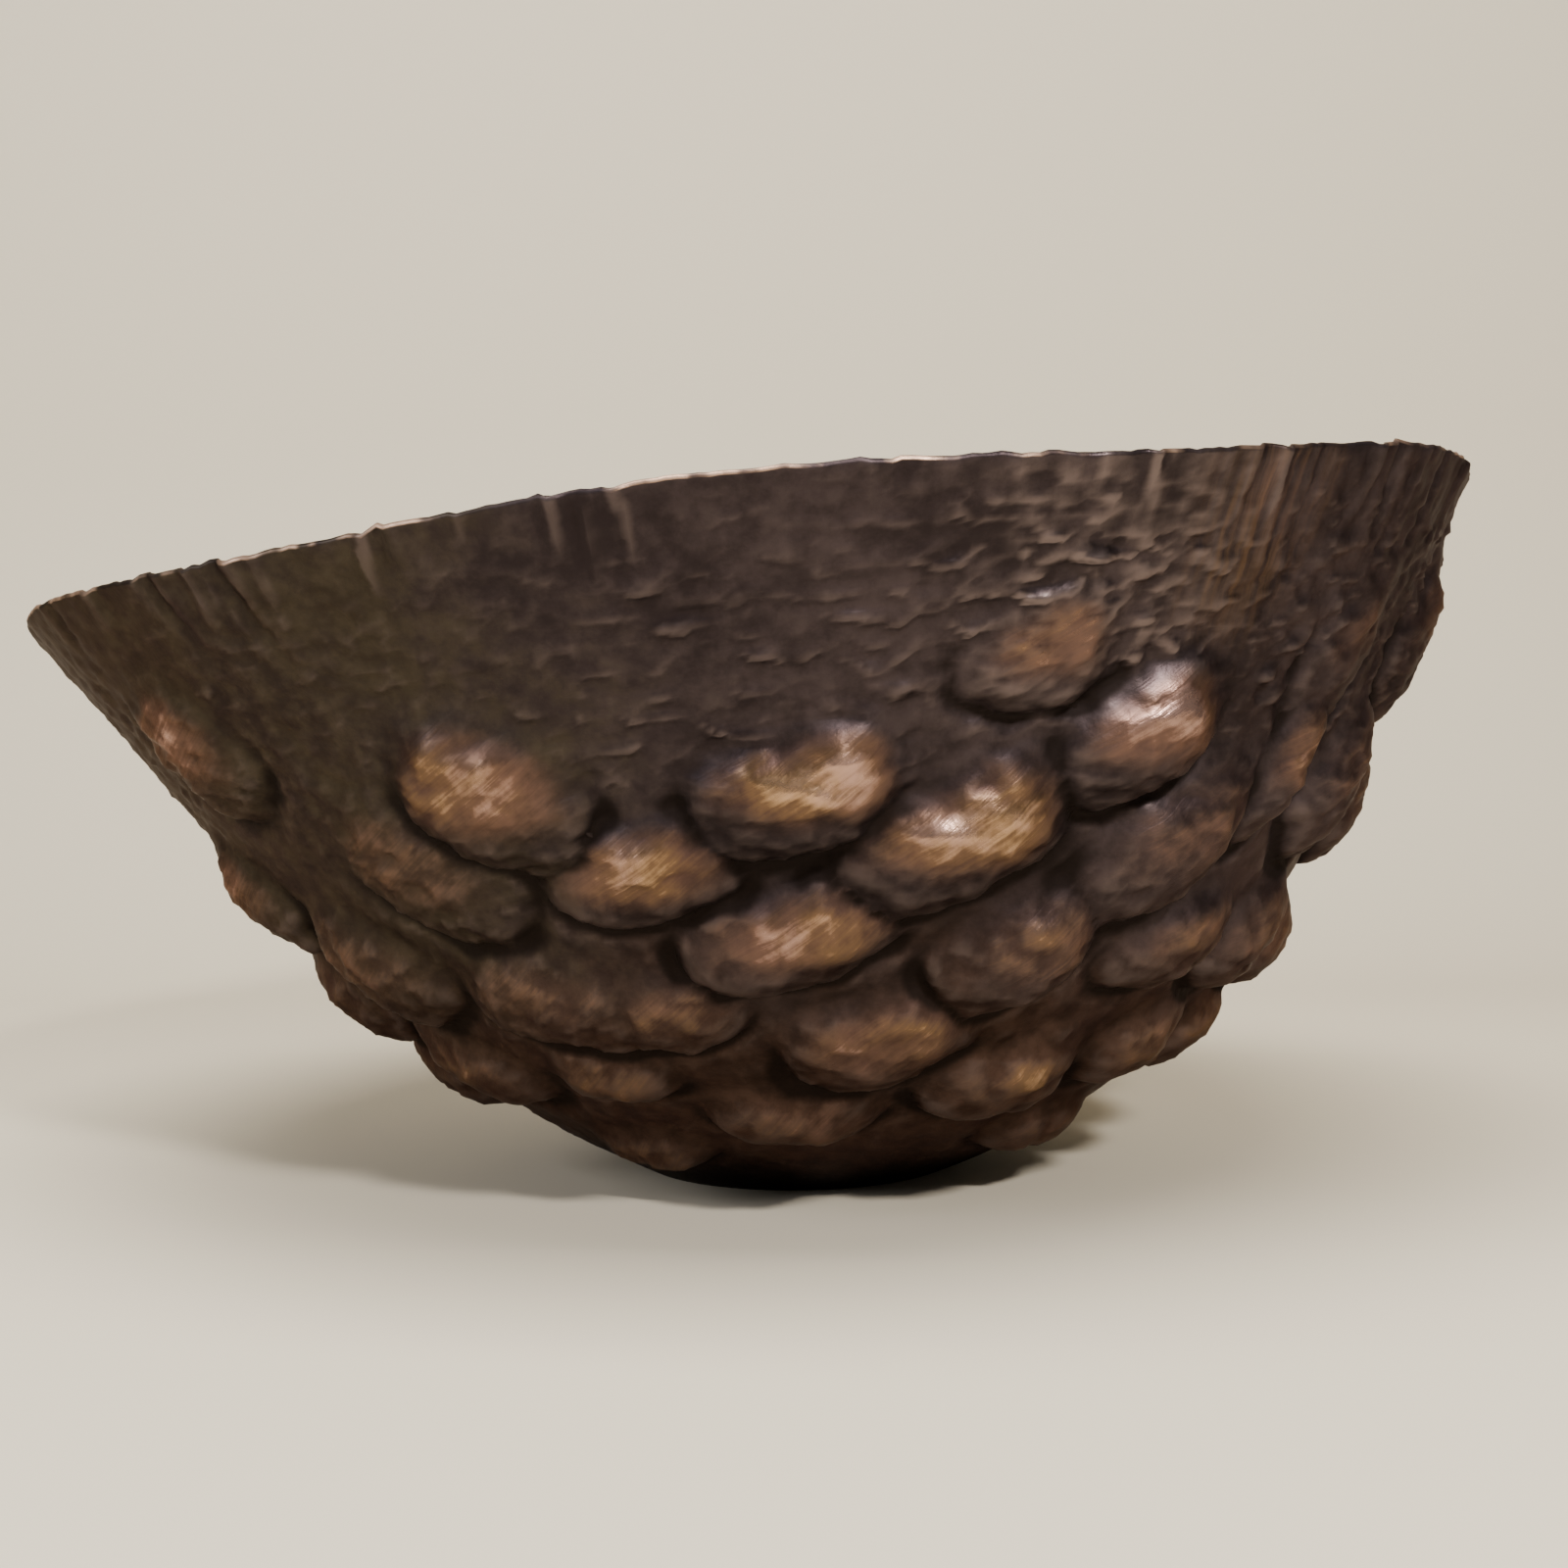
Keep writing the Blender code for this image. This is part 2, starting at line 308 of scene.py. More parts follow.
# %% The bosses at the front
# azimuth, share of the wall, length, width, slant, rise (mm and degrees), rubbed bright 0 to 1
FRONT_BOSSES = (
    # the top ring, with plain wall between
    (218, 0.81, 37, 32, -62, 5, 0.45), (246.5, 0.725, 38, 31, -38, 9, 0.65),
    (270, 0.70, 40, 25, 18, 9, 1.0), (287, 0.82, 31, 23, 14, 4, 0.35),
    (297.5, 0.735, 36, 25, 32, 9, 0.6), (320, 0.81, 40, 26, 60, 3, 0.05), (341, 0.83, 44, 32, 60, 7, 0.2),
    # the second ring
    (187, 0.60, 34, 26, -30, 6, 0.2), (205, 0.60, 34, 26, -40, 7, 0.3), (237, 0.63, 42, 30, -42, 5, 0.08),
    (257, 0.615, 38, 23, 12, 7, 0.7), (283, 0.64, 48, 28, 22, 10, 0.9), (304.5, 0.61, 46, 28, 38, 8, 0.0),
    (316, 0.68, 34, 17, 70, 6, 0.25), (330, 0.66, 38, 27, 60, 8, 0.0), (349, 0.63, 36, 30, 30, 9, 0.15),
    # the third ring
    (200, 0.42, 34, 28, -35, 7, 0.1), (221, 0.49, 40, 28, -42, 7, 0.1), (243.5, 0.44, 40, 28, -12, 6, 0.05),
    (270, 0.53, 42, 25, 18, 9, 0.5), (292, 0.49, 38, 26, 35, 9, 0.15), (312, 0.475, 36, 20, 32, 7, 0.1),
    (328, 0.47, 34, 26, 40, 8, 0.1), (346, 0.44, 34, 26, 30, 9, 0.2),
    # the fourth ring
    (199, 0.26, 32, 24, -30, 6, 0.1), (221, 0.30, 38, 24, -35, 6, 0.1), (257, 0.42, 30, 20, 20, 5, 0.2),
    (279, 0.365, 40, 26, 22, 8, 0.4), (298, 0.29, 36, 22, 22, 8, 0.15), (320, 0.31, 32, 22, 30, 7, 0.15),
    (338, 0.31, 30, 22, 30, 7, 0.15),
    # the lowest, just above the base
    (245, 0.31, 30, 18, -5, 5, 0.15), (240, 0.14, 30, 18, 5, 5, 0.1), (269, 0.235, 34, 20, 3, 7, 0.1),
    (318, 0.16, 30, 18, 10, 6, 0.0),
)
print("bosses at the front:", len(FRONT_BOSSES))

# %% The bosses at the back, by rule
# share of the wall, degrees from boss to boss, first azimuth
BACK_RINGS = ((0.77, 23.0, 6.0), (0.61, 20.0, 9.0), (0.46, 20.5, 5.0), (0.31, 24.0, 0.0), (0.17, 36.0, 12.0))
BACK_END = 187.0          # azimuth where the back's rings meet the front's
BACK_LENGTH, LENGTH_SPREAD = 37 * MM, (0.88, 1.15)
BACK_WIDTH, WIDTH_SPREAD = 25 * MM, (0.88, 1.12)
BACK_RISE, RISE_SPREAD = 7.5 * MM, (0.8, 1.2)
BACK_SLANTS = (10, 40)    # least and most, in degrees
BACK_RUBS = (0.1, 0.8)    # least and most, at the rim; half as much at the base
BACK_TURN = 2.5           # degrees that a boss may sit off its place round the ring
BACK_DRIFT = 0.022        # share of the wall that it may sit above or below the ring
PLACES_SEED, RUBS_SEED = 11, 12


def all_bosses():
    """Azimuth, share, length, width, slant, rise and rub of every boss, in degrees and metres."""
    found = [(a, s, l * MM, w * MM, t, r * MM, rub) for a, s, l, w, t, r, rub in FRONT_BOSSES]
    dice, rubs = random.Random(PLACES_SEED), random.Random(RUBS_SEED)
    for share, pitch, first in BACK_RINGS:
        count = round((BACK_END - first) / pitch)
        for i in range(count):
            found.append((
                first + i * (BACK_END - first) / count + dice.uniform(-BACK_TURN, BACK_TURN),
                share + dice.uniform(-BACK_DRIFT, BACK_DRIFT),
                BACK_LENGTH * dice.uniform(*LENGTH_SPREAD),
                BACK_WIDTH * dice.uniform(*WIDTH_SPREAD),
                dice.uniform(*BACK_SLANTS),
                BACK_RISE * dice.uniform(*RISE_SPREAD),
                rubs.uniform(*BACK_RUBS) * (0.5 + 0.5 * share),
            ))
    return found


bosses = np.array(all_bosses())
print("bosses in all:", len(bosses), "longest %.0f mm" % (bosses[:, 2].max() / MM))


# %% The plan as a cloud of points
BOSS_SPREAD = 1.34        # a boss's foot over its marked size, because its flanks run out softly


def boss_cloud(found):
    """A mesh of loose points, one for each boss, that carries its two directions, its sizes and its rub."""
    azimuth, share = np.radians(found[:, 0]), found[:, 1]
    along, rise, _ = directions(azimuth, share)
    slant = np.radians(found[:, 4])[:, None]
    long_way = along * np.cos(slant) + rise * np.sin(slant)
    short_way = rise * np.cos(slant) - along * np.sin(slant)
    half = np.stack([found[:, 2], found[:, 3], found[:, 5]], axis=-1)
    half = half * (BOSS_SPREAD / 2, BOSS_SPREAD / 2, 1.0)
    cloud = bpy.data.meshes.new("boss_plan")
    cloud.from_pydata(wall(azimuth, share).tolist(), [], [])
    for name, values in (("long_way", long_way), ("short_way", short_way), ("half", half)):
        cloud.attributes.new(name, "FLOAT_VECTOR", "POINT").data.foreach_set("vector", values.ravel())
    cloud.attributes.new("rub", "FLOAT", "POINT").data.foreach_set("value", found[:, 6].copy())
    return cloud


plan = bpy.data.objects.new("boss_plan", boss_cloud(bosses))
bpy.context.scene.collection.objects.link(plan)
print("the plan carries:", [one.name for one in plan.data.attributes])

# %% [markdown]
# ## Short ways to write a node tree
# A tree written out link by link is long to read. These few helpers add a node, feed its inputs with numbers
# or with other nodes' outputs, and hand back an output, so that a formula reads almost as it would on paper.
# The same helpers serve the geometry and the material.

# %% Helpers for trees
class Tree:
    """Adds nodes to one tree. An input is fed with a number, a colour, or another node's output."""

    def __init__(self, tree):
        self.tree = tree

    def feed(self, socket, value):
        if isinstance(value, bpy.types.NodeSocket):
            self.tree.links.new(value, socket)
        else:
            socket.default_value = value

    def add(self, kind, inputs=None, **settings):
        node = self.tree.nodes.new(kind)
        for name, value in settings.items():
            setattr(node, name, value)
        for name, value in (inputs or {}).items():
            self.feed(node.inputs[name], value)
        return node

    def read(self, name, kind="FLOAT"):
        """What the mesh carries under this name: a number, or with FLOAT_VECTOR a vector."""
        if self.tree.type == "SHADER":
            found = self.add("ShaderNodeAttribute", attribute_name=name)
            return found.outputs["Fac" if kind == "FLOAT" else "Vector"]
        found = self.add("GeometryNodeInputNamedAttribute", {"Name": name}, data_type=kind)
        return found.outputs["Attribute"]

    def keep(self, geometry, name, value, kind="FLOAT"):
        """Has every point carry the value under this name."""
        inputs = {"Geometry": geometry, "Name": name, "Value": value}
        return self.add("GeometryNodeStoreNamedAttribute", inputs, data_type=kind, domain="POINT").outputs[0]

    def maths(self, operation, *values, clamp=False):
        node = self.add("ShaderNodeMath", dict(enumerate(values)), operation=operation, use_clamp=clamp)
        return node.outputs[0]

    def vector(self, operation, *values):
        node = self.add("ShaderNodeVectorMath", operation=operation)
        for i, value in enumerate(values):
            self.feed(node.inputs["Scale"] if operation == "SCALE" and i == 1 else node.inputs[i], value)
        return node.outputs["Value" if operation in ("DOT_PRODUCT", "LENGTH") else "Vector"]

    def joined(self, x, y, z):
        return self.add("ShaderNodeCombineXYZ", {"X": x, "Y": y, "Z": z}).outputs[0]

    def part(self, vector, axis):
        return self.add("ShaderNodeSeparateXYZ", {0: vector}).outputs[axis]

    def ramp(self, value, low, high, start=0.0, end=1.0, kind="SMOOTHSTEP"):
        """value, remapped from low..high to start..end and held outside."""
        inputs = {"Value": value, "From Min": low, "From Max": high, "To Min": start, "To Max": end}
        return self.add("ShaderNodeMapRange", inputs, interpolation_type=kind).outputs[0]

    def noise(self, where, scale, detail=2.0, rough=0.5, stretch=None):
        """Soft noise about zero, from about -0.5 to 0.5."""
        if stretch:
            where = self.vector("MULTIPLY", where, stretch)
        inputs = {"Vector": where, "Scale": scale, "Detail": detail, "Roughness": rough}
        return self.maths("SUBTRACT", self.add("ShaderNodeTexNoise", inputs).outputs[0], 0.5)

    def blend(self, amount, first, second, kind="RGBA"):
        """first where amount is 0, second where it is 1."""
        mix = self.add("ShaderNodeMix", {"Factor": amount}, data_type=kind)
        a, b, result = (6, 7, 2) if kind == "RGBA" else (2, 3, 0)
        self.feed(mix.inputs[a], first)
        self.feed(mix.inputs[b], second)
        return mix.outputs[result]

    def away(self, value, middle):
        """How far value lies from middle, either way."""
        return self.maths("ABSOLUTE", self.maths("SUBTRACT", value, middle))

    def total(self, *values):
        result = values[0]
        for value in values[1:]:
            result = self.maths("ADD", result, value)
        return result

    def product(self, *values):
        result = values[0]
        for value in values[1:]:
            result = self.maths("MULTIPLY", result, value)
        return result

    def lay_out(self):
        """Sets the nodes out in columns, each to the right of what feeds it."""
        depth = {node: 0 for node in self.tree.nodes}
        moved = True
        while moved:
            moved = False
            for wire in self.tree.links:
                if depth[wire.to_node] <= depth[wire.from_node]:
                    depth[wire.to_node] = depth[wire.from_node] + 1
                    moved = True
        rows = {}
        for node in self.tree.nodes:
            rows[depth[node]] = rows.get(depth[node], 0) + 1
            node.location = (220 * depth[node], -190 * rows[depth[node]])


# %% [markdown]
# ## Chasing and hammering
# The chasing could be sculpted by hand, but its rule is simple: each boss pushes the sheet straight out of
# the wall by a pebble-shaped dome, and where two domes meet the higher one wins, which leaves the sharp dark
# creases between pebbles. Every size that a smith might change is a named input of the tree.

# %% The tree and its named inputs
HAMMER_SIZES = (
    ("Squareness", 2.4), ("Belly", 0.15), ("Crease depth", 1.4 * MM), ("Warp", 5.5 * MM),
    ("Lumps", 3.5 * MM), ("Mark length", 9.0 * MM), ("Mark height", 4.2 * MM), ("Mark depth", 1.9 * MM),
    ("Mark tilt", 0.55), ("Unevenness", 1.2 * MM), ("Crimp depth", 1.9 * MM), ("Rim nibbles", 1.3 * MM),
)
hammering = bpy.data.node_groups.new("chase_and_hammer", "GeometryNodeTree")
hammering.is_modifier = True
hammering.interface.new_socket("Geometry", in_out="INPUT", socket_type="NodeSocketGeometry")
hammering.interface.new_socket("Boss plan", in_out="INPUT", socket_type="NodeSocketObject")
hammering.interface.new_socket("Copper", in_out="INPUT", socket_type="NodeSocketMaterial")
for name, size in HAMMER_SIZES:
    hammering.interface.new_socket(name, in_out="INPUT", socket_type="NodeSocketFloat").default_value = size
hammering.interface.new_socket("Geometry", in_out="OUTPUT", socket_type="NodeSocketGeometry")
t = Tree(hammering)
given = t.add("NodeGroupInput").outputs
print("tree inputs:", [socket.name for socket in given if socket.name])

# %% [markdown]
# A pattern needs to know where it is on the wall. An unrolled map of the wall would have a seam at the back,
# where the azimuth jumps from 360 to 0. So the address is rolled up: round by the rim's radius and up by the
# wall's length, which is a cylinder, and has no seam. A second address is the same cylinder twisted, so that
# what runs straight up it slants round the bowl, as the polishing strokes do.
# The bosses are measured from a slightly warped copy of the plain form, so that no two have quite the same
# outline.

# %% Addresses on the wall
TWIST = 10.0              # radians for each metre up the wall
WARP_SCALE, WARP_DETAIL = 48.0, 2.5
share = t.read("share")
turn = t.maths("RADIANS", t.read("azimuth"))


def rolled_up(angle):
    """The address of a point at this angle, on a cylinder."""
    x, y = t.product(t.maths("COSINE", angle), RIM_RADIUS), t.product(t.maths("SINE", angle), RIM_RADIUS)
    return t.joined(x, y, t.product(share, WALL_LENGTH))


wrap = rolled_up(turn)
spiral = rolled_up(t.maths("SUBTRACT", turn, t.product(share, WALL_LENGTH * TWIST)))
form = t.read("form", "FLOAT_VECTOR")
bend = t.add("ShaderNodeTexNoise", {"Vector": form, "Scale": WARP_SCALE, "Detail": WARP_DETAIL})
bend = t.vector("SUBTRACT", bend.outputs["Color"], (0.5, 0.5, 0.5))
warped = t.vector("ADD", form, t.vector("SCALE", bend, t.product(given["Warp"], 2.0)))
geometry = t.keep(given["Geometry"], "wrap", wrap, "FLOAT_VECTOR")
geometry = t.keep(geometry, "spiral", spiral, "FLOAT_VECTOR")
geometry = t.keep(geometry, "warped", warped, "FLOAT_VECTOR")
for name in ("lift", "crease", "rub", "crown"):
    geometry = t.keep(geometry, name, 0.0)
print("nodes for the addresses:", len(hammering.nodes))

# %% [markdown]
# A Repeat Zone visits the bosses in turn. Each pass measures how far a point lies from the boss, along its
# two axes, and works out the dome: squarish in plan, steep on its underside and soft above, where it runs
# into the wall. It keeps the highest dome so far, the crown, weighted to the dome's upper side, which the
# patina uses both for rubbed metal and for painted top light, the boss's rub, and the crease that the dome
# hangs over, a groove in the sheet that the patina also paints dark as shadow.

# %% Begin the Repeat Zone
visit = t.add("GeometryNodeRepeatInput")
visited = t.add("GeometryNodeRepeatOutput")
visit.pair_with_output(visited)
visit.inputs["Iterations"].default_value = len(plan.data.vertices)
t.feed(visit.inputs["Geometry"], geometry)
cloud = t.add("GeometryNodeObjectInfo", {"Object": given["Boss plan"]}).outputs["Geometry"]


def of_boss(value, kind="FLOAT_VECTOR"):
    """The value that this pass's boss carries."""
    inputs = {"Geometry": cloud, "Value": value, "Index": visit.outputs["Iteration"]}
    return t.add("GeometryNodeSampleIndex", inputs, data_type=kind, domain="POINT").outputs["Value"]


print("passes of the Repeat Zone:", visit.inputs["Iterations"].default_value)


# %% The dome of one boss
REACH = 2.4               # a boss is worked out this many half lengths round it
STEEPNESS = (0.88, 2.0)   # power of the dome's flank on the underside and on top: low is steep
middle = of_boss(t.add("GeometryNodeInputPosition").outputs[0])
half = t.add("ShaderNodeSeparateXYZ", {0: of_boss(t.read("half", "FLOAT_VECTOR"))}).outputs
off = t.vector("SUBTRACT", t.read("warped", "FLOAT_VECTOR"), middle)
u = t.vector("DOT_PRODUCT", off, of_boss(t.read("long_way", "FLOAT_VECTOR")))
u = t.maths("DIVIDE", u, half[0])
v = t.vector("DOT_PRODUCT", off, of_boss(t.read("short_way", "FLOAT_VECTOR")))
v = t.maths("DIVIDE", v, half[1])
above = t.maths("DIVIDE", t.part(off, "Z"), half[1])
foot = t.total(*(t.maths("POWER", t.maths("ABSOLUTE", way), given["Squareness"]) for way in (u, v)))
near = t.maths("LESS_THAN", t.vector("LENGTH", off), t.product(half[0], REACH))
steep = t.ramp(above, -0.5, 0.6, *STEEPNESS)
dome = t.maths("POWER", t.maths("SUBTRACT", 1.0, foot, clamp=True), steep)
belly = t.maths("SUBTRACT", 1.0, t.product(v, given["Belly"]))
raised = t.product(dome, half[2], belly, near)
# crown: the dome weighted to its upper side; the patina uses it for rubbed metal and for painted top light
crown = t.product(dome, t.ramp(above, -0.75, 0.4))
# moat: the crease under a boss, a groove in the sheet that the patina also paints dark as shadow
moat = t.product(t.ramp(t.away(foot, 1.0), 0.0, 0.7, 1.0, 0.0), near, t.ramp(above, 0.2, -0.55))
print("flank's power: %.2f below, %.2f on top" % STEEPNESS)

# %% Keep the highest dome, and end the zone
wins = t.maths("GREATER_THAN", raised, t.read("lift"))
rub = t.blend(wins, t.read("rub"), of_boss(t.read("rub"), "FLOAT"), "FLOAT")
inner = t.keep(visit.outputs["Geometry"], "rub", rub)
inner = t.keep(inner, "crown", t.blend(wins, t.read("crown"), crown, "FLOAT"))
inner = t.keep(inner, "crease", t.maths("MAXIMUM", t.read("crease"), moat))
inner = t.keep(inner, "lift", t.maths("MAXIMUM", t.read("lift"), raised))
t.feed(visited.inputs["Geometry"], inner)
print("nodes with the chasing:", len(hammering.nodes))

# %% [markdown]
# ## Planishing marks
# A planishing hammer leaves shallow dishes that overlap like fish scales. Each mark here is a cell of a
# Voronoi pattern, stretched along the wall. The cell's distance makes the dish, its own height in the cell
# tips the dish downwards, and a soft noise as fine as the marks breaks the pattern up. The marks are struck
# harder in patches, and hardest on one stretch of the upper wall.

# %% Where the wall is clear of base and bosses
BASE_CLEAR = 18 * MM      # bosses and marks fade out over this height above the base
clear = t.ramp(t.part(form, "Z"), 0.0, BASE_CLEAR)
lift = t.product(t.read("lift"), clear)
bossed = t.ramp(lift, 0.0, 3.0 * MM)
crease = t.product(t.read("crease"), t.maths("SUBTRACT", 1.0, bossed), clear)
outside = t.read("outside")
print("clear of the base above %.0f mm" % (BASE_CLEAR / MM))

# %% The shape of a mark
WOBBLE, WOBBLE_SCALE = 0.9, 0.45
SCALE_PART, RIPPLE_PART = 0.45, 1.9
across, upright = (t.maths("DIVIDE", 1.0, given[size]) for size in ("Mark length", "Mark height"))
marks_at = t.vector("MULTIPLY", wrap, t.joined(across, across, upright))
wobble = t.add("ShaderNodeTexNoise", {"Vector": marks_at, "Scale": WOBBLE_SCALE, "Detail": 1.0})
marks_at = t.vector("ADD", marks_at, t.vector("SCALE", wobble.outputs["Color"], WOBBLE))
cells = {"Vector": marks_at, "Scale": 1.0, "Smoothness": 0.22, "Randomness": 0.9}
marks = t.add("ShaderNodeTexVoronoi", feature="SMOOTH_F1")
for name, value in cells.items():
    t.feed(marks.inputs[name], value)
tip = t.part(t.vector("SUBTRACT", marks_at, marks.outputs["Position"]), "Z")
dish = t.maths("POWER", marks.outputs["Distance"], 1.6)
scale_like = t.maths("SUBTRACT", dish, t.product(tip, given["Mark tilt"], 2.0))
ripples = t.noise(marks_at, 1.15, 1.0)
scale_like = t.total(t.product(scale_like, SCALE_PART), t.product(ripples, RIPPLE_PART))
print("mark:", SCALE_PART, "of dish to", RIPPLE_PART, "of ripple")

# %% How hard each mark is struck
ROUGH_AT = 212.0          # azimuth in degrees of the side that was planished less evenly
DEEPEST_AT = 292.0        # azimuth of the stretch with the deepest marks
rough_side = t.ramp(t.maths("COSINE", t.maths("SUBTRACT", turn, math.radians(ROUGH_AT))), 0.55, 0.95)
patches = t.ramp(t.noise(wrap, 22.0, 1.0), -0.22, 0.08, 0.35, 1.0)
deepest = t.ramp(t.away(t.read("azimuth"), DEEPEST_AT), 16.0, 3.0)
deepest = t.product(deepest, t.ramp(share, 0.78, 0.86))
patches = t.total(patches, t.product(deepest, 0.4))
own_blow = t.add("FunctionNodeSeparateColor", {"Color": marks.outputs["Color"]}).outputs[0]
low_wall, at_rim = t.ramp(share, 0.60, 0.78, 0.22, 1.0), t.ramp(share, 0.90, 0.985, 1.0, 0.35)
strength = t.product(patches, low_wall, at_rim, t.ramp(rough_side, 0.0, 1.0, 1.0, 0.4),
                     t.ramp(bossed, 0.0, 1.0, 1.0, 0.25), clear, outside,
                     t.ramp(own_blow, 0.1, 0.9, 0.25, 1.3))
marked = t.product(scale_like, given["Mark depth"], strength)
print("nodes with the planishing:", len(hammering.nodes))

# %% [markdown]
# ## Unevenness, lumps, pleats and nibbles
# Under the marks the sheet is never quite true. Four soft noises of different sizes stand for it: a slow one
# in the form, fine dents on the outside, lumps on the bosses, where a round punch met a soft pitch bed, and
# short upright pleats between the crimps. The rim's edge is nibbled, because it was cut with shears and only
# roughly filed.

# %% Everything that moves the sheet, added up
slow = t.product(t.noise(form, 70.0, 3.0, 0.55), given["Unevenness"], clear, 1.6)
dents = t.product(t.noise(wrap, 150.0, 3.0, 0.6, (1.0, 1.0, 1.7)), given["Unevenness"], outside, clear,
                  t.ramp(rough_side, 0.0, 1.0, 0.5, 1.3))
lumps = t.product(t.noise(form, 115.0, 3.0, 0.6, (0.8, 1.0, 1.5)), given["Lumps"], bossed, 1.4)
crimps = t.product(t.read("crimp"), given["Crimp depth"])
pleated = t.ramp(t.noise(wrap, 14.0, 1.0, 0.5, (1.0, 1.0, 0.2)), -0.1, 0.12, 0.2, 1.2)
pleats = t.product(t.noise(wrap, 240.0, 2.0, 0.6, (1.0, 1.0, 0.10)), given["Crimp depth"], 0.6,
                   t.ramp(share, 0.86, 1.0), pleated)
height = t.total(lift, marked, slow, dents, lumps, crimps, pleats)
height = t.maths("SUBTRACT", height, t.product(crease, given["Crease depth"]))
nibble = t.product(t.noise(wrap, 130.0, 3.0, 0.7, (1.0, 1.0, 0.0)), given["Rim nibbles"],
                   t.ramp(share, 0.985, 1.0), 2.0)
shift = t.vector("SCALE", t.read("out", "FLOAT_VECTOR"), height)
shift = t.vector("ADD", shift, t.joined(0.0, 0.0, nibble))
moved = t.add("GeometryNodeSetPosition", {"Geometry": visited.outputs[0], "Offset": shift}).outputs[0]
print("nodes with everything that moves the sheet:", len(hammering.nodes))

# %% [markdown]
# The patina needs to know how far each point stands out of its surroundings. Blurring the height and taking
# the blurred from the sharp tells that: a short blur finds the ridges between hammer marks, and a long one,
# as broad as a boss, finds the creases.

# %% Measure the relief, and end the tree
FINE_ROUNDS, BROAD_ROUNDS = 5, 30
moved = t.keep(moved, "height", height)
for name, rounds in (("fine", FINE_ROUNDS), ("cavity", BROAD_ROUNDS)):
    blur = t.add("GeometryNodeBlurAttribute", {"Iterations": rounds}, data_type="FLOAT")
    t.feed(blur.inputs[0], t.read("height"))
    proud = t.maths("SUBTRACT", t.read("height"), blur.outputs[0])
    moved = t.keep(moved, name, t.maths("DIVIDE", proud, MM))
moved = t.keep(moved, "crown", t.product(t.read("crown"), bossed))
moved = t.add("GeometryNodeSetShadeSmooth", {"Geometry": moved}).outputs[0]
moved = t.add("GeometryNodeRealizeInstances", {"Geometry": moved}).outputs[0]
moved = t.add("GeometryNodeSetMaterial", {"Geometry": moved, "Material": given["Copper"]}).outputs[0]
t.feed(t.add("NodeGroupOutput").inputs["Geometry"], moved)
t.lay_out()
print("nodes in the whole tree:", len(hammering.nodes))

# %% [markdown]
# ## The patina
# Old copper is never one colour. Liver-of-sulphur patina leaves it nearly black in the creases, olive where
# it was thick, purple-brown on the planished wall and red-brown low down. The black in the creases is partly
# painted shadow under each overhanging boss, and the near black under the base is painted shade. Rubbing
# brings the crowns back through brown and gold to bright copper, in fibres that follow the stroke; here that
# rubbing is weighted to each boss's upper side, so it is partly painted top light and highlight. It could be
# painted on a map, but every layer follows what the chasing did, so each one is steered by what the tree
# measured: how high a point stands, how deep in a crease it lies, how much its boss was rubbed.

# %% What steers the layers
copper = bpy.data.materials.new("patinated_copper")
copper.use_nodes = True
t = Tree(copper.node_tree)
place = t.add("ShaderNodeTexCoord").outputs["Object"]
wrap, spiral = t.read("wrap", "FLOAT_VECTOR"), t.read("spiral", "FLOAT_VECTOR")
share, azimuth, outside = t.read("share"), t.read("azimuth"), t.read("outside")
crown, rub, cavity, fine = t.read("crown"), t.read("rub"), t.read("cavity"), t.read("fine")
cloudy = t.noise(place, 28.0, 4.0, 0.6)
mottle = t.noise(place, 150.0, 5.0, 0.65)
grain = t.noise(place, 900.0, 3.0, 0.6)
fibre = t.noise(spiral, 520.0, 4.0, 0.65, (1.0, 1.0, 0.10))
streak = t.noise(wrap, 330.0, 4.0, 0.65, (1.0, 1.0, 0.06))
print("nodes that steer:", len(copper.node_tree.nodes))

# %% The patina's own colours
PURPLE_BROWN = ((0.019, 0.014, 0.0155, 1.0), (0.048, 0.036, 0.0385, 1.0))   # darkest and lightest
OLIVE = ((0.024, 0.0185, 0.0135, 1.0), (0.045, 0.036, 0.026, 1.0))
RED_BROWN = ((0.028, 0.016, 0.012, 1.0), (0.062, 0.036, 0.027, 1.0))
# near black painted shade for the underside by the base
UNDERSIDE_PAINTED_SHADE = (0.008, 0.006, 0.005, 1.0)
mottled = t.ramp(mottle, -0.2, 0.25)
purple = t.blend(t.ramp(t.total(mottle, t.product(cloudy, 1.3)), -0.3, 0.35), *PURPLE_BROWN)
side = t.maths("COSINE", t.maths("RADIANS", t.maths("SUBTRACT", azimuth, ROUGH_AT)))
olive_side = t.ramp(t.total(side, cloudy, t.product(mottle, 0.5)), 0.60, 1.04)
low_down = t.ramp(t.total(share, t.product(cloudy, 0.35)), 0.62, 0.25)
colour = t.blend(olive_side, purple, t.blend(mottled, *OLIVE))
colour = t.blend(low_down, colour, t.blend(mottled, *RED_BROWN))
# the outside near the base is painted near black: painted shade under the bowl
colour = t.blend(t.product(t.ramp(share, 0.16, 0.02), outside), colour, UNDERSIDE_PAINTED_SHADE)
print("patina colours:", 2 * len((PURPLE_BROWN, OLIVE, RED_BROWN)) + 1)

# %% [markdown]
# Rubbing goes on in steps, as the maker's cloth would: first the ridges between the hammer marks turn grey,
# most of all where the marks are deepest, then each boss turns brown, then its crown gold, and last the top
# of the crown bright. The grey ridges are partly painted highlight, and painted sheen where the marks are
# deepest; each boss's brown, gold and bright copper are weighted to its upper side, partly painted top light
# and highlight. One stretch under the high rim has been rubbed in upright streaks.

# %% Ridges, rubbed and painted with highlight
RIDGE_WEAR_AND_HIGHLIGHT_GREY = (0.148, 0.113, 0.108, 1.0)
